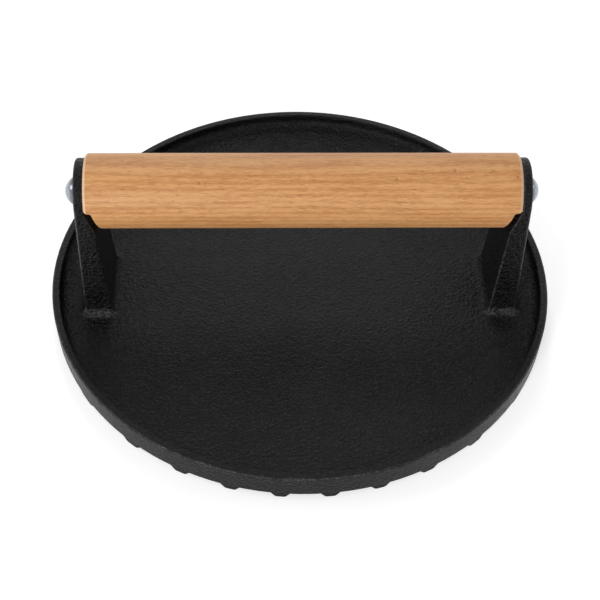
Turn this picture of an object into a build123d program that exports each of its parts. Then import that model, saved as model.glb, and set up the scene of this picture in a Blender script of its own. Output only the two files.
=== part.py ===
"""Round cast burger press with a beech handle clamped between two upright ears.

The underside rests at z = 0 on its rib crests, the handle runs along X, and the
origin is under the middle of the plate. All sizes are in millimetres.
"""

import os

from build123d import *

# Round plate
plate_diameter = 210.0
wall_height = 10.7
wall_draft = 0.5
rim_width = 3.3
rim_outer_round = 0.9
rim_inner_round = 0.6
lower_edge_bevel = 0.6
pan_depth = 6.0
pan_draft = 0.5
pan_cove = 3.8

# Ribs under the plate
rib_height = 2.5
rib_base_width = 8.0
rib_flank_angle = 50.0
rib_pitch = 19.5
rib_count = 10
rib_crest_round = 1.4

# Upright ears
ear_setback = 14.5
ear_foot_thickness = 11.5
ear_shoulder_thickness = 7.6
tab_thickness = 3.8
ear_foot_width = 32.2
ear_tip_radius = 13.2
shoulder_drop = 10.8
shoulder_rise = 10.6
ear_edge_round = 0.7
tip_edge_round = 1.3
foot_fillet_wanted = 4.0

# Handle
handle_diameter = 30.0
handle_axis_height = 50.6
handle_end_gap = 0.25
handle_end_bevel = 0.9
notch_ledge_rise = 2.2
notch_ledge_depth = 2.9
notch_ledge_slope = 0.8
notch_lip_drop = 10.0
notch_lip_depth = 6.1
notch_foot_depth = 7.7
notch_corner_round = 0.8

# Tie rod and screws
screw_diameter = 6.0
screw_head_diameter = 11.6
screw_head_height = 4.3
screw_head_rim = 0.6
screw_tip_bevel = 0.8
screw_reach = 24.0
hole_clearance = 0.3
thread_clearance = 0.08
rod_diameter = 9.0
rod_clearance = 0.2
rod_setback = 7.4
rod_end_bevel = 0.5
recess_width = 1.5
recess_span = 5.4
recess_depth = 2.4
recess_taper = 8.0

# Overshoot of a cut past the face it leaves, and the tolerance for picking edges by height
cut_margin = 1.0
tiny = 0.01

# Levels and radii that follow from the sizes above
plate_radius = plate_diameter / 2
underside_level = rib_height
rim_level = underside_level + wall_height
floor_level = rim_level - pan_depth
base_radius = plate_radius - wall_draft
rib_end_radius = base_radius - lower_edge_bevel
pan_radius = plate_radius - rim_width
axis_level = rim_level + handle_axis_height
ear_outer = plate_radius - ear_setback
cove_start = pan_radius - pan_draft - pan_cove
foot_room = (cove_start ** 2 - (ear_foot_width / 2) ** 2) ** 0.5 - ear_outer
foot_fillet = min(foot_fillet_wanted, 0.9 * foot_room)
tab_inner = ear_outer - tab_thickness
handle_half = tab_inner - handle_end_gap
handle_radius = handle_diameter / 2
tip_level = axis_level + ear_tip_radius
shoulder_level = axis_level - shoulder_drop
rod_half = handle_half - rod_setback
dome_rise = screw_head_height - screw_head_rim
dome_radius = (screw_head_diameter ** 2 / 4 + dome_rise ** 2) / (2 * dome_rise)

os.makedirs("parts", exist_ok=True)


def save(part, name):
    """Label one finished piece and write it as its own file."""
    part.label = name
    export_step(part, f"parts/{name}.step")


# The ribs run front to back and end on the plate's round edge
with BuildPart() as ribs:
    with BuildSketch(Plane.XZ) as rib_section:
        with GridLocations(rib_pitch, 1, rib_count, 1):
            Trapezoid(
                rib_base_width,
                rib_height,
                rib_flank_angle,
                rotation=180,
                align=(Align.CENTER, Align.MAX),
            )
        crests = rib_section.vertices().group_by(Axis.Y)[0]
        fillet(crests, rib_crest_round)
    extrude(amount=plate_radius, both=True)
    with BuildSketch():
        Circle(rib_end_radius)
    extrude(amount=rib_height, mode=Mode.INTERSECT)

# One ear: its side outline crossed with its tapered and stepped section
with BuildPart() as ear:
    with BuildSketch(Plane.YZ) as ear_outline:
        with BuildLine():
            left = Line((-ear_foot_width / 2, floor_level), (-ear_tip_radius, axis_level))
            right = Line((ear_foot_width / 2, floor_level), (ear_tip_radius, axis_level))
            ThreePointArc(left @ 1, (0, tip_level), right @ 1)
            Line(right @ 0, left @ 0)
        make_face()
    extrude(amount=ear_outer)
    with BuildSketch(Plane.XZ) as ear_section:
        with BuildLine():
            Polyline(
                (ear_outer, floor_level),
                (ear_outer, tip_level),
                (tab_inner, tip_level),
                (tab_inner, shoulder_level + shoulder_rise),
                (ear_outer - ear_shoulder_thickness, shoulder_level),
                (ear_outer - ear_foot_thickness, floor_level),
                close=True,
            )
        make_face()
    extrude(amount=ear_foot_width, both=True, mode=Mode.INTERSECT)
    outer_face = ear.faces().sort_by(Axis.X)[-1]
    fillet(outer_face.edges().filter_by(GeomType.CIRCLE), tip_edge_round)
    sharp_uprights = ear.edges().filter_by(lambda edge: edge.bounding_box().size.Z > shoulder_drop)
    fillet(sharp_uprights.filter_by(GeomType.LINE), ear_edge_round)

# The casting: plate with its shallow pan, ribs below and both ears above
with BuildPart() as press_plate:
    with BuildSketch(Plane.XZ):
        with BuildLine():
            FilletPolyline(
                (0, floor_level),
                (pan_radius - pan_draft, floor_level),
                (pan_radius, rim_level),
                (plate_radius, rim_level),
                (base_radius, underside_level + lower_edge_bevel),
                (rib_end_radius, underside_level),
                (0, underside_level),
                radius=[pan_cove, rim_inner_round, rim_outer_round, 0, 0],
            )
            Line((0, underside_level), (0, floor_level))
        make_face()
    revolve(axis=Axis.Z)
    add(ribs.part)
    add(ear.part)
    add(mirror(ear.part, about=Plane.YZ))
    floor_edges = press_plate.edges().filter_by_position(Axis.Z, floor_level - tiny, floor_level + tiny)
    foot_edges = floor_edges.filter_by(lambda edge: edge.length < pan_radius)
    fillet(foot_edges, foot_fillet)
    with Locations(Plane.YZ.offset(-ear_outer)):
        with Locations((0, axis_level)):
            Hole(screw_diameter / 2 + hole_clearance, depth=2 * ear_outer)
save(press_plate.part, "press_plate")

# The handle: a straight bar with bevelled ends, notched below to clear the ears' shoulders
with BuildPart() as handle_grip:
    with BuildSketch(Plane.YZ.offset(-handle_half)):
        with Locations((0, axis_level)):
            Circle(handle_radius)
    extrude(amount=2 * handle_half)
    with BuildSketch(Plane.XZ) as notch_section:
        with BuildLine():
            FilletPolyline(
                (handle_half + cut_margin, axis_level + notch_ledge_rise),
                (handle_half - notch_ledge_depth, axis_level + notch_ledge_rise - notch_ledge_slope),
                (handle_half - notch_lip_depth, axis_level - notch_lip_drop),
                (handle_half - notch_foot_depth, axis_level - handle_radius - cut_margin),
                (handle_half + cut_margin, axis_level - handle_radius - cut_margin),
                close=True,
                radius=[0, notch_corner_round, 0, 0, 0],
            )
        make_face()
        mirror(about=Plane.YZ)
    extrude(amount=handle_diameter, both=True, mode=Mode.SUBTRACT)
    with Locations(Plane.YZ.offset(-handle_half)):
        with Locations((0, axis_level)):
            Hole(rod_diameter / 2 + rod_clearance, depth=2 * handle_half)
    end_faces = handle_grip.faces().sort_by(Axis.X)
    end_edges = end_faces[0].edges() + end_faces[-1].edges()
    rim_edges = end_edges.filter_by(GeomType.CIRCLE).filter_by(lambda edge: edge.radius > rod_diameter)
    chamfer(rim_edges, handle_end_bevel)
save(handle_grip.part, "handle_grip")

# The hidden tie rod, tapped at both ends, that the screws pull the ears against
with BuildPart() as tie_rod:
    with BuildSketch(Plane.YZ.offset(-rod_half)):
        with Locations((0, axis_level)):
            Circle(rod_diameter / 2)
    extrude(amount=2 * rod_half)
    rod_rims = tie_rod.edges().filter_by(GeomType.CIRCLE)
    chamfer(rod_rims, rod_end_bevel)
    thread_radius = screw_diameter / 2 + thread_clearance
    thread_depth = screw_reach - (ear_outer - rod_half) + screw_diameter
    with Locations(Plane.YZ.offset(rod_half), Plane.YZ.offset(-rod_half)):
        with Locations((0, axis_level)):
            Hole(thread_radius, depth=thread_depth)
save(tie_rod.part, "tie_rod")


def round_head_screw():
    """A cross-recessed dome-head screw whose head stands on z = 0 and shank hangs below."""
    with BuildPart() as screw:
        with BuildSketch(Plane.XZ):
            with BuildLine():
                Line((screw_head_diameter / 2, 0), (screw_head_diameter / 2, screw_head_rim))
                RadiusArc((screw_head_diameter / 2, screw_head_rim), (0, screw_head_height), -dome_radius)
                Polyline(
                    (0, screw_head_height),
                    (0, -screw_reach),
                    (screw_diameter / 2 - screw_tip_bevel, -screw_reach),
                    (screw_diameter / 2, -screw_reach + screw_tip_bevel),
                    (screw_diameter / 2, 0),
                    (screw_head_diameter / 2, 0),
                )
            make_face()
        revolve(axis=Axis.Z)
        with BuildSketch(Plane.XY.offset(screw_head_height)):
            Rectangle(recess_span, recess_width)
            Rectangle(recess_width, recess_span)
        extrude(amount=-recess_depth, taper=recess_taper, mode=Mode.SUBTRACT)
    return screw.part


screw = round_head_screw()
right_seat = Plane(origin=(ear_outer, 0, axis_level), x_dir=(0, 1, 0), z_dir=(1, 0, 0))
left_seat = Plane(origin=(-ear_outer, 0, axis_level), x_dir=(0, -1, 0), z_dir=(-1, 0, 0))
save(right_seat.location * screw, "screw_right")
save(left_seat.location * screw, "screw_left")
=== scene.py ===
"""Looks of a round cast iron burger press with a beech bar handle.

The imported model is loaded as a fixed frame, and every length here is in metres.
The pieces keep the frame's own shapes. One operator for each piece or group of
like pieces gives it its finish, and the stage operator sets the floor, the
lights and the camera.
"""

import math
from functools import cached_property

import bpy
from mathutils import Matrix, Vector


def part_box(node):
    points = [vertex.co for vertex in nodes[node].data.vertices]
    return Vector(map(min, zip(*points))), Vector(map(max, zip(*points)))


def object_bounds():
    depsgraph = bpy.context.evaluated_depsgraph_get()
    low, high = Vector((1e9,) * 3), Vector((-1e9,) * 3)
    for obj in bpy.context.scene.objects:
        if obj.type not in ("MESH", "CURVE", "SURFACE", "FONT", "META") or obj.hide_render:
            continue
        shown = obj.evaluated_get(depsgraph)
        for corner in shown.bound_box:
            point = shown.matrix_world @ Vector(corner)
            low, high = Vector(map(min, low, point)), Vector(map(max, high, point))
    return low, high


bl_info = {
    "name": "Burger press looks",
    "version": (1, 0, 0),
    "blender": (4, 5, 0),
    "location": "3D View > Sidebar > Burger press",
    "description": "Seasoned iron, oiled beech and plated screws for a burger press",
    "category": "Object",
}

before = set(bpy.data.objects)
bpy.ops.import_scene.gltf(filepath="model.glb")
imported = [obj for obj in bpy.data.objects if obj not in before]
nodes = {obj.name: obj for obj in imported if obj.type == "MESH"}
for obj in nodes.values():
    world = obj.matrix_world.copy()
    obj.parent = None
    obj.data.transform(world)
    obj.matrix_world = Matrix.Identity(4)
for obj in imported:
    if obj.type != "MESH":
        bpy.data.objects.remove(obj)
cad_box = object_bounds()

# Levels and reaches read from the frame, for patterns that follow the pieces
bar_low, bar_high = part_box("handle_grip")
bar_axis = (bar_low.z + bar_high.z) / 2
bar_radius = (bar_high.z - bar_low.z) / 2
bar_half = bar_high.x
plate_radius = cad_box[1][0]
head_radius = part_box("screw_left")[1].y

# Levels and sizes of the casting's edges, which the painted highlights follow
rim_level = 0.0132
ear_outer = 0.0905
ear_foot_level = 0.0072
ear_shoulder_level = 0.0530
ear_shoulder_rise = 0.0106
ear_foot_thickness = 0.0115
ear_shoulder_thickness = 0.0076
ear_tab_thickness = 0.0038
ear_foot_half = 0.0161
ear_foot_fillet = 0.0040
ear_tip_radius = 0.0132

# Pixels across the picture that the camera was fitted in, and the film's width in millimetres
picture_width = 600
film_width = 36


# User settings


class CastingFinish(bpy.types.PropertyGroup):
    """Colour and texture of the seasoned casting."""

    base: bpy.props.FloatVectorProperty(
        name="Iron",
        description="Black of the seasoned iron",
        subtype="COLOR",
        default=(0.0012, 0.0011, 0.0012),
    )
    worn: bpy.props.FloatVectorProperty(
        name="Worn iron",
        description="Grey where the skin is thin",
        subtype="COLOR",
        default=(0.0062, 0.0059, 0.0062),
    )
    # The crests' grey is bright enough to stand as painted glints on the sand grain
    crest: bpy.props.FloatVectorProperty(
        name="Crests",
        description="Grey of the sand grain's crests",
        subtype="COLOR",
        default=(0.034, 0.033, 0.034),
    )
    # The grey of the painted highlights along the edges and on the ears' foot fillets
    edge: bpy.props.FloatVectorProperty(
        name="Edges",
        description="Grey along edges that rub",
        subtype="COLOR",
        default=(0.090, 0.087, 0.090),
    )
    grain: bpy.props.FloatProperty(
        name="Grain",
        description="Width of one grain of the sand mould",
        unit="LENGTH",
        default=0.00074,
    )
    depth: bpy.props.FloatProperty(
        name="Depth",
        description="Height of the grain",
        unit="LENGTH",
        default=0.00088,
    )
    roughness: bpy.props.FloatProperty(
        name="Roughness",
        description="Dullness of the skin",
        subtype="FACTOR",
        default=0.34,
    )


class BeechFinish(bpy.types.PropertyGroup):
    """Colours and grain of the beech bar."""

    pale: bpy.props.FloatVectorProperty(
        name="Early wood",
        description="Pale wood between the streaks",
        subtype="COLOR",
        default=(0.66, 0.340, 0.136),
    )
    deep: bpy.props.FloatVectorProperty(
        name="Late wood",
        description="Deeper wood of the streaks",
        subtype="COLOR",
        default=(0.48, 0.205, 0.066),
    )
    fleck: bpy.props.FloatVectorProperty(
        name="Flecks",
        description="Short dark flecks and pin knots",
        subtype="COLOR",
        default=(0.20, 0.075, 0.028),
    )
    # A pale colour painted on the bevels as their highlight
    bevel_highlight_colour: bpy.props.FloatVectorProperty(
        name="Sawn ends",
        description="Pale wood of the bevelled ends",
        subtype="COLOR",
        default=(0.78, 0.55, 0.36),
    )
    ring: bpy.props.FloatProperty(
        name="Ring width",
        description="Width of one year's growth",
        unit="LENGTH",
        default=0.0024,
    )
    roughness: bpy.props.FloatProperty(
        name="Roughness",
        description="Dullness of the oiled wood",
        subtype="FACTOR",
        default=0.5,
    )


class MetalFinish(bpy.types.PropertyGroup):
    """Colours of the plated screws and of the plain rod between them."""

    plating: bpy.props.FloatVectorProperty(
        name="Plating",
        description="Bluish white of the plated screws",
        subtype="COLOR",
        default=(0.37, 0.39, 0.43),
    )
    steel: bpy.props.FloatVectorProperty(
        name="Rod steel",
        description="Grey of the plain rod",
        subtype="COLOR",
        default=(0.42, 0.42, 0.43),
    )


class PressStage(bpy.types.PropertyGroup):
    """Where the camera stands and how bright the room is."""

    distance: bpy.props.FloatProperty(
        name="Distance",
        description="From under the plate's middle to the camera",
        unit="LENGTH",
        default=0.6485,
    )
    elevation: bpy.props.FloatProperty(
        name="Elevation",
        description="Height of the camera above the horizon",
        subtype="ANGLE",
        default=math.radians(48.5),
    )
    azimuth: bpy.props.FloatProperty(
        name="Azimuth",
        description="Turn of the camera away from the bar's square view",
        subtype="ANGLE",
        default=math.radians(-2.37),
    )
    roll: bpy.props.FloatProperty(
        name="Roll",
        description="Tilt of the picture",
        subtype="ANGLE",
        default=math.radians(1.58),
    )
    focal: bpy.props.FloatProperty(
        name="Focal length",
        description="In picture widths",
        default=1500 / picture_width,
    )
    shift: bpy.props.FloatVectorProperty(
        name="Shift",
        description="Of the picture, in picture widths",
        size=2,
        default=(0.08 / picture_width, -4.01 / picture_width),
    )
    room: bpy.props.FloatProperty(
        name="Room light",
        description="Strength of the even light from all round",
        default=0.42,
    )
    front: bpy.props.FloatProperty(
        name="Front lamp",
        description="Power of the soft box beside the camera",
        unit="POWER",
        default=11.5,
    )
    left: bpy.props.FloatProperty(
        name="Left lamp",
        description="Power of the soft box on the left",
        unit="POWER",
        default=3.4,
    )
    right: bpy.props.FloatProperty(
        name="Right lamp",
        description="Power of the soft box on the right",
        unit="POWER",
        default=2.04,
    )
    back: bpy.props.FloatProperty(
        name="Back lamp",
        description="Power of the soft box high behind the press",
        unit="POWER",
        default=5.0,
    )
    rim: bpy.props.FloatProperty(
        name="Rim lamp",
        description="Power of the low soft box that edges the bar",
        unit="POWER",
        default=1.2,
    )


# Nodes of the finishes


class Value:
    """A shader socket that takes part in Python arithmetic, each step adding a Math node."""

    def __init__(self, shader, socket):
        self.shader = shader
        self.socket = socket

    def __add__(self, other):
        return self.shader.maths("ADD", self, other)

    def __radd__(self, other):
        return self.shader.maths("ADD", other, self)

    def __sub__(self, other):
        return self.shader.maths("SUBTRACT", self, other)

    def __rsub__(self, other):
        return self.shader.maths("SUBTRACT", other, self)

    def __mul__(self, other):
        return self.shader.maths("MULTIPLY", self, other)

    def __rmul__(self, other):
        return self.shader.maths("MULTIPLY", other, self)

    def __truediv__(self, other):
        return self.shader.maths("DIVIDE", self, other)

    def __rtruediv__(self, other):
        return self.shader.maths("DIVIDE", other, self)

    def __abs__(self):
        return self.shader.maths("ABSOLUTE", self)


class Shader:
    """The nodes of one material or world."""

    def __init__(self, owner):
        owner.use_nodes = True
        self.owner = owner
        self.tree = owner.node_tree
        self.tree.nodes.clear()

    def add(self, kind, settings=None, inputs=None, output=0):
        """Add one node, settings first and then its sockets' values or links, and give an output."""
        node = self.tree.nodes.new("ShaderNode" + kind)
        for name, setting in (settings or {}).items():
            setattr(node, name, setting)
        for key, value in (inputs or {}).items():
            socket = self.find(node.inputs, key)
            if isinstance(value, Value):
                self.tree.links.new(value.socket, socket)
            elif socket.type == "RGBA":
                socket.default_value = (*value[:3], 1)
            else:
                socket.default_value = value
        return Value(self, self.find(node.outputs, output)) if node.outputs else None

    @staticmethod
    def find(sockets, key):
        """A socket by its number, its name or its identifier."""
        if isinstance(key, int):
            return sockets[key]
        return next(socket for socket in sockets if key in (socket.identifier, socket.name))

    @cached_property
    def place(self):
        """The piece's own Object coordinates."""
        return self.add("TexCoord", output="Object")

    def axes(self, names="XYZ"):
        """The named Object coordinates as values."""
        return [self.add("SeparateXYZ", {}, {"Vector": self.place}, name) for name in names]

    def maths(self, operation, *terms):
        """One Math node on numbers or values, in their order."""
        return self.add("Math", {"operation": operation}, dict(enumerate(terms)))

    def hypot(self, first, second):
        """Length of the longest side of a right triangle."""
        return self.maths("SQRT", first * first + second * second)

    def noise(self, width, detail=2.0, roughness=0.5, stretch=(1, 1, 1)):
        """Cloudy noise whose blobs are about one width across, longer along a stretched axis."""
        scale = tuple(1 / (width * share) for share in stretch)
        place = self.add("Mapping", {"vector_type": "POINT"}, {"Vector": self.place, "Scale": scale})
        sockets = {"Vector": place, "Scale": 1.0, "Detail": detail, "Roughness": roughness}
        return self.add("TexNoise", {}, sockets)

    def step(self, value, low, high, start=0.0, end=1.0, course="SMOOTHSTEP"):
        """Lead a value from start at low to end at high, and keep it level beyond them."""
        sockets = {"Value": value, "From Min": low, "From Max": high, "To Min": start, "To Max": end}
        return self.add("MapRange", {"interpolation_type": course}, sockets)

    def mix(self, factor, first, second):
        """Mix two colours."""
        sockets = {"Factor_Float": factor, "A_Color": first, "B_Color": second}
        return self.add("Mix", {"data_type": "RGBA"}, sockets, "Result_Color")

    def bump(self, height, depth, normal=None):
        """Relief of that depth for heights from 0 to 1, laid over another relief."""
        sockets = {"Height": height, "Distance": depth}
        if normal is not None:
            sockets["Normal"] = normal
        return self.add("Bump", {}, sockets)

    def surface(self, sockets):
        """Finish the material with a Principled surface of these sockets."""
        return self.close(self.add("BsdfPrincipled", {}, sockets), "OutputMaterial")

    def close(self, surface, kind):
        """Join a surface to the output node of that kind, and return what owns the nodes."""
        self.add(kind, {}, {"Surface": surface})
        return self.owner


def new_finish(name):
    """The shader of a new, empty material."""
    return Shader(bpy.data.materials.new(name))


def dress(piece, material):
    """Give a piece one material all over."""
    piece.data.materials.clear()
    piece.data.materials.append(material)


def darker(colour, share):
    """A colour that keeps this share of each channel."""
    return tuple(channel * share for channel in colour)


# Finish of the casting

# Painted highlight along the edges: how wide it is in full, where it has faded out, how far
# that wavers, and how much narrower it is on the left ear's inner edge
edge_highlight_width = 0.0006
edge_highlight_end = 0.0016
edge_waver = 0.0012
left_edge_highlight_cut = 0.0005

# Painted highlight on the fillets at the foot of each ear: how it fades in at the foot's side and over
# the climb from the pan's floor, and how far from the plate's middle it ends
foot_side_fade = 0.0010
foot_climb_start = 0.0001
foot_climb_full = 0.0006
foot_climb_fading = 0.0018
cove_reach = 0.0940
cove_reach_end = 0.0955

# The pan's skin is rubbed more from its middle outwards, and the rim's is spared
rub_start = 0.045
rub_full = 0.100
rub_waver = 0.050
rim_spared_start = 0.0060
rim_spared_full = 0.0030

# Coarse peel and fine grit of the mould's sand, in grains and as a share of the grain's height
peel_grains = 1.7
grit_share = 0.45


def casting_edges(shader):
    """Distance from the nearest outside edge of the rim or of an ear's front and back."""
    x, y, z = shader.axes()
    rim = shader.hypot(shader.hypot(x, y) - plate_radius, z - rim_level)

    # How far a place lies outside the ear's side outline, whose tip is round
    taper = (ear_tip_radius - ear_foot_half) / (bar_axis - ear_foot_level)
    side = abs(y) - ((z - ear_foot_level) * taper + ear_foot_half)
    crown = shader.hypot(y, z - bar_axis) - ear_tip_radius
    outline = side + (crown - side) * shader.maths("GREATER_THAN", z, bar_axis)

    # The ear is thick at its foot and steps back to a thin tab at its shoulder
    shoulder_top = ear_shoulder_level + ear_shoulder_rise
    step_back = ear_tab_thickness - ear_shoulder_thickness
    foot = shader.step(
        z, ear_foot_level, ear_shoulder_level, ear_foot_thickness, ear_shoulder_thickness, "LINEAR"
    )
    shoulder = shader.step(z, ear_shoulder_level, shoulder_top, 0, step_back, "LINEAR")
    past_outer = abs(x) - ear_outer
    outer_edge = shader.hypot(outline, past_outer)
    inner_edge = shader.hypot(outline, past_outer + foot + shoulder)
    # The painted highlight is kept narrower on the left, where the inner edges face away from the light
    inner_edge = inner_edge + shader.step(x, 0, plate_radius, left_edge_highlight_cut, 0)
    return shader.maths("MINIMUM", rim, shader.maths("MINIMUM", outer_edge, inner_edge))


def foot_fillet_highlight(shader):
    """1 on the fillets in front of and behind each ear's foot, where a highlight is painted, else 0."""
    x, y, z = shader.axes()
    climb = z - ear_foot_level
    beside_foot = shader.step(abs(y), ear_foot_half - foot_side_fade, ear_foot_half)
    off_floor = shader.step(climb, foot_climb_start, foot_climb_full)
    below_top = shader.step(climb, foot_climb_fading, ear_foot_fillet, start=1, end=0)
    inside_cove = shader.step(shader.hypot(x, y), cove_reach, cove_reach_end, start=1, end=0)
    return beside_foot * off_floor * below_top * inside_cove


def seasoned_iron(finish):
    """Sand cast iron under a thin black seasoning, with painted glints on its grain's crests and painted
    highlights along its edges and the ears' foot fillets.
    """
    shader = new_finish("seasoned_iron")
    reach = shader.hypot(*shader.axes("XY"))
    clouds = shader.noise(width=0.030, detail=3)
    blotches = shader.noise(width=0.006, detail=4, roughness=0.6)
    peel = shader.noise(finish.grain * peel_grains)
    grit = shader.noise(finish.grain)
    sand = shader.noise(finish.grain, detail=1, roughness=0.7)

    spared_from, spared_to = plate_radius - rim_spared_start, plate_radius - rim_spared_full
    in_pan = shader.step(reach, spared_from, spared_to, start=1, end=0.5)
    rubbed = shader.step(reach + clouds * rub_waver, rub_start, rub_full, start=0.75, end=1.20) * in_pan
    thin = shader.step(clouds * 0.6 + blotches * 0.4, low=0.42, high=0.62) * in_pan
    # The sand grain's crests, lightened into painted glints
    crests = shader.step(sand, low=0.60, high=0.70) * rubbed
    # Painted highlight on the foot fillets, speckled by the grit
    foot_highlight = foot_fillet_highlight(shader) * shader.step(grit, low=0.44, high=0.62, start=0.05, end=0.55)
    from_edge = casting_edges(shader) + blotches * edge_waver
    # Mask of the painted highlight along the edges
    edges = shader.step(from_edge, edge_highlight_width, edge_highlight_end, start=1, end=0)
    glints = shader.step(grit, low=0.50, high=0.64, start=0.35)

    skin = shader.mix(thin * 0.6, finish.base, finish.worn)
    # Painted glints on the grain's crests
    skin = shader.mix(crests * 0.7, skin, finish.crest)
    # The foot fillets take the grey of the painted highlight
    skin = shader.mix(foot_highlight, skin, finish.edge)
    # Painted highlight along the edges, broken into glints by the grit
    skin = shader.mix(edges * glints, skin, finish.edge)
    dullness = finish.roughness + (blotches - 0.5) * 0.22 + (grit - 0.5) * 0.12 - edges * 0.06
    relief = shader.bump(peel * rubbed, finish.depth)
    relief = shader.bump(grit, finish.depth * grit_share, relief)
    return shader.surface(
        {"Base Color": skin, "Roughness": dullness, "Normal": relief, "Specular IOR Level": 0.13}
    )


# Finish of the bar

# The pith of the log that the bar was cut from lies to the front of it and below,
# and its rings waver
pith_aside = 0.055
pith_below = 0.105
ring_waver = 0.006

# Shares of the wood's tone, and the relief of its streaks and fibres
ring_share = 0.12
band_share = 0.33
streak_share = 0.55
streak_depth = 0.00006
fibre_depth = 0.00004

# Pin knots on the bar, as places along it and across it
pin_knots = (
    (0.0594, -0.0040),
    (0.0363, -0.0073),
    (0.0840, -0.0064),
    (-0.0410, -0.0085),
    (-0.0050, 0.0090),
)
knot_core = 0.0002
knot_radius = 0.0009

# The painted highlight on each bevel begins and is brightest this far from the bar's ends
bevel_start = 0.0013
bevel_full = 0.0007


def oiled_beech(finish):
    """Oiled beech with growth rings about a far pith, fine streaks, short flecks and pin knots."""
    shader = new_finish("oiled_beech")
    x, y, z = shader.axes()
    warp = shader.noise(width=0.020, stretch=(6, 1, 1))
    from_pith = shader.hypot(y + pith_aside, z - (bar_axis - pith_below))
    ring = shader.maths("PINGPONG", (from_pith + warp * ring_waver) / finish.ring, 0.5) * 2
    bands = shader.noise(width=0.0045, detail=3, stretch=(9, 1, 1))
    streaks = shader.noise(width=0.0006, detail=3, roughness=0.7, stretch=(8, 1, 1))
    fibres = shader.noise(width=0.0004, roughness=0.6, stretch=(8, 1, 1))
    dashes = shader.noise(width=0.00062, detail=1, stretch=(4.5, 1, 1))
    patches = shader.noise(width=0.012, stretch=(2.5, 1, 1))

    tone = ring * ring_share + bands * band_share + streaks * streak_share
    wood = shader.mix(shader.step(tone, low=0.35, high=0.61), finish.deep, finish.pale)
    flecks = shader.step(dashes, low=0.59, high=0.69)
    flecks = flecks * shader.step(patches, low=0.35, high=0.60, start=0.35, end=0.95)
    wood = shader.mix(flecks, wood, shader.mix(0.34, wood, finish.fleck))
    for along, over in pin_knots:
        knot = (along, over, bar_axis + math.sqrt(bar_radius**2 - over**2))
        gap = shader.add("VectorMath", {"operation": "DISTANCE"}, {0: shader.place, 1: knot}, "Value")
        wood = shader.mix(shader.step(gap, knot_core, knot_radius, start=0.55, end=0), wood, finish.fleck)
    # Painted highlight on the bevelled ends
    bevel_highlight = shader.step(abs(x), bar_half - bevel_start, bar_half - bevel_full, end=0.7)
    wood = shader.mix(bevel_highlight, wood, finish.bevel_highlight_colour)

    dullness = finish.roughness + (streaks - 0.5) * 0.18
    relief = shader.bump(streaks, streak_depth)
    relief = shader.bump(fibres, fibre_depth, relief)
    return shader.surface(
        {"Base Color": wood, "Roughness": dullness, "Normal": relief, "Specular IOR Level": 0.35}
    )


# Finish of the screws and the rod

# Painted shade darkens a head from this far inside its edge, and is darkest that far inside it
head_shade_start = 0.0014
head_shade_full = 0.0002

# Relief of the wiped plating and of the drawn rod
wipe_depth = 0.000008
draw_depth = 0.00002


def plated_steel(finish):
    """Bright plating with faint clouding, and painted shade darkening the heads' edges."""
    shader = new_finish("plated_steel")
    y, z = shader.axes("YZ")
    clouds = shader.noise(width=0.0016, detail=3, roughness=0.6)
    wipe = shader.noise(width=0.0004)
    clouding = shader.step(clouds, low=0.35, high=0.70)
    plating = shader.mix(clouding, finish.plating, darker(finish.plating, 0.8))
    # Painted shade towards each head's rim
    inside_edge = head_radius - shader.hypot(y, z - bar_axis)
    head_rim_shade = shader.step(inside_edge, head_shade_full, head_shade_start, start=0.8, end=0)
    return shader.surface(
        {
            "Base Color": shader.mix(head_rim_shade, plating, darker(finish.plating, 0.35)),
            "Metallic": 1.0,
            "Roughness": 0.10 + clouds * 0.14,
            "Normal": shader.bump(wipe, wipe_depth),
        }
    )


def rod_steel(finish):
    """Plain drawn rod with marks along its length."""
    shader = new_finish("rod_steel")
    draw = shader.noise(width=0.0004, stretch=(30, 1, 1))
    return shader.surface(
        {
            "Base Color": shader.mix(draw, darker(finish.steel, 0.6), finish.steel),
            "Metallic": 1.0,
            "Roughness": 0.28 + draw * 0.20,
            "Normal": shader.bump(draw, draw_depth),
        }
    )


# Floor, light and camera

# The floor lies just under the ribs, and looks whiter between these reaches
floor_width = 8.0
floor_drop = 0.0002
glow_start = 0.4
glow_full = 1.6

# Each soft box's place and width, and the point that they all face
soft_boxes = {
    "front": ((-0.55, -1.25, 0.42), 0.26),
    "left": ((-1.30, 0.05, 0.70), 0.55),
    "right": ((1.30, 0.05, 0.70), 0.55),
    "back": ((-0.10, 0.95, 1.15), 0.42),
    "rim": ((0.0, 1.60, 0.16), 0.6),
}
lamp_aim = Vector((0, 0, 0.03))


def seen_rays(shader):
    """1 for rays from the camera and for those that gloss or glass sends on, else 0."""
    sight = shader.add("LightPath", output="Is Camera Ray")
    gloss = shader.add("LightPath", output="Is Glossy Ray")
    glass = shader.add("LightPath", output="Is Transmission Ray")
    return shader.maths("MAXIMUM", shader.maths("MAXIMUM", sight, gloss), glass)


def lay_floor():
    """A wide pale floor that keeps the press's soft shadow and looks white further out."""
    bpy.ops.object.select_all(action="DESELECT")
    bpy.ops.mesh.primitive_plane_add(size=floor_width, location=(0, 0, -floor_drop))
    floor = bpy.context.object
    floor.name = "floor"
    shader = new_finish("floor_paper")
    paper = shader.noise(width=0.002)
    reach = shader.hypot(*shader.axes("XY"))
    glow = seen_rays(shader) * shader.step(reach, glow_start, glow_full, start=0.60, end=0.80)
    sockets = {
        "Base Color": shader.mix(paper, (0.62, 0.62, 0.62), (0.66, 0.66, 0.66)),
        "Roughness": 0.9,
        "Specular IOR Level": 0.1,
        "Emission Color": shader.mix(glow, (0, 0, 0), (1, 1, 1)),
        "Emission Strength": 1.0,
    }
    dress(floor, shader.surface(sockets))


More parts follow.
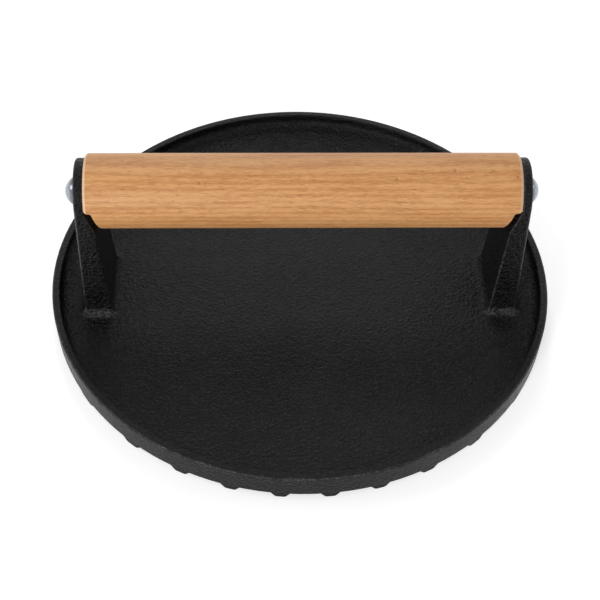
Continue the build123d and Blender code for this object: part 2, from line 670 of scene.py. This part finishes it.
def light_room(scene, settings):
    """Even light from all round, white where the camera, gloss or glass looks at it."""
    shader = Shader(bpy.data.worlds.new("room"))
    strength = seen_rays(shader) * (1 - settings.room) + settings.room
    background = shader.add("Background", {}, {"Color": (1, 1, 1), "Strength": strength})
    scene.world = shader.close(background, "OutputWorld")


def soft_box(name, location, width, power):
    """A square lamp at a place, turned to the press."""
    light = bpy.data.lights.new(name, "AREA")
    light.energy = power
    light.size = width
    lamp = bpy.data.objects.new(name, light)
    bpy.context.scene.collection.objects.link(lamp)
    lamp.location = location
    lamp.rotation_euler = (lamp_aim - lamp.location).to_track_quat("-Z", "Y").to_euler()


def place_camera(scene, settings):
    """A camera that looks at the middle of the plate's underside from the photographed side."""
    flat, rise = math.cos(settings.elevation), math.sin(settings.elevation)
    back = Vector((math.sin(settings.azimuth) * flat, -math.cos(settings.azimuth) * flat, rise))
    level = Vector((math.cos(settings.azimuth), math.sin(settings.azimuth), 0))
    upright = back.cross(level)
    right = level * math.cos(settings.roll) + upright * math.sin(settings.roll)
    above = upright * math.cos(settings.roll) - level * math.sin(settings.roll)
    lens = bpy.data.cameras.new("camera")
    lens.sensor_width = film_width
    lens.lens = film_width * settings.focal
    lens.shift_x, lens.shift_y = settings.shift
    camera = bpy.data.objects.new("camera", lens)
    scene.collection.objects.link(camera)
    turn = Matrix((right, above, back)).transposed().to_4x4()
    camera.matrix_world = Matrix.Translation(back * settings.distance) @ turn
    scene.camera = camera


# Operators and their panel


class PRESS_OT_casting(bpy.types.Operator):
    """Dress the casting in seasoned iron"""

    bl_idname = "press.casting"
    bl_label = "Casting"

    def execute(self, context):
        dress(nodes["press_plate"], seasoned_iron(context.scene.press_casting))
        return {"FINISHED"}


class PRESS_OT_handle(bpy.types.Operator):
    """Dress the bar handle in oiled beech"""

    bl_idname = "press.handle"
    bl_label = "Handle"

    def execute(self, context):
        dress(nodes["handle_grip"], oiled_beech(context.scene.press_beech))
        return {"FINISHED"}


class PRESS_OT_fasteners(bpy.types.Operator):
    """Dress the screws in bright plating and the rod between them in plain steel"""

    bl_idname = "press.fasteners"
    bl_label = "Screws and rod"

    def execute(self, context):
        plating = plated_steel(context.scene.press_metal)
        dress(nodes["screw_left"], plating)
        dress(nodes["screw_right"], plating)
        dress(nodes["tie_rod"], rod_steel(context.scene.press_metal))
        return {"FINISHED"}


class PRESS_OT_stage(bpy.types.Operator):
    """Lay the floor and set the lights and the camera"""

    bl_idname = "press.stage"
    bl_label = "Stage"

    def execute(self, context):
        settings = context.scene.press_stage
        lay_floor()
        light_room(context.scene, settings)
        for name, (location, width) in soft_boxes.items():
            soft_box(name + "_lamp", location, width, getattr(settings, name))
        place_camera(context.scene, settings)
        context.scene.view_settings.view_transform = "Standard"
        return {"FINISHED"}


class VIEW3D_PT_burger_press(bpy.types.Panel):
    """Buttons for each piece and for the stage"""

    bl_label = "Burger press"
    bl_space_type = "VIEW_3D"
    bl_region_type = "UI"
    bl_category = "Burger press"

    def draw(self, context):
        for operator in operators:
            self.layout.operator(operator.bl_idname)


settings_groups = {
    "press_casting": CastingFinish,
    "press_beech": BeechFinish,
    "press_metal": MetalFinish,
    "press_stage": PressStage,
}
operators = (PRESS_OT_casting, PRESS_OT_handle, PRESS_OT_fasteners, PRESS_OT_stage)


def register():
    for group in (*settings_groups.values(), *operators, VIEW3D_PT_burger_press):
        bpy.utils.register_class(group)
    for name, group in settings_groups.items():
        setattr(bpy.types.Scene, name, bpy.props.PointerProperty(type=group))


def unregister():
    for name in settings_groups:
        delattr(bpy.types.Scene, name)
    for group in (*settings_groups.values(), *operators, VIEW3D_PT_burger_press):
        bpy.utils.unregister_class(group)


def main():
    register()
    bpy.ops.press.casting()
    bpy.ops.press.handle()
    bpy.ops.press.fasteners()
    bpy.ops.press.stage()


if __name__ == "__main__":
    main()
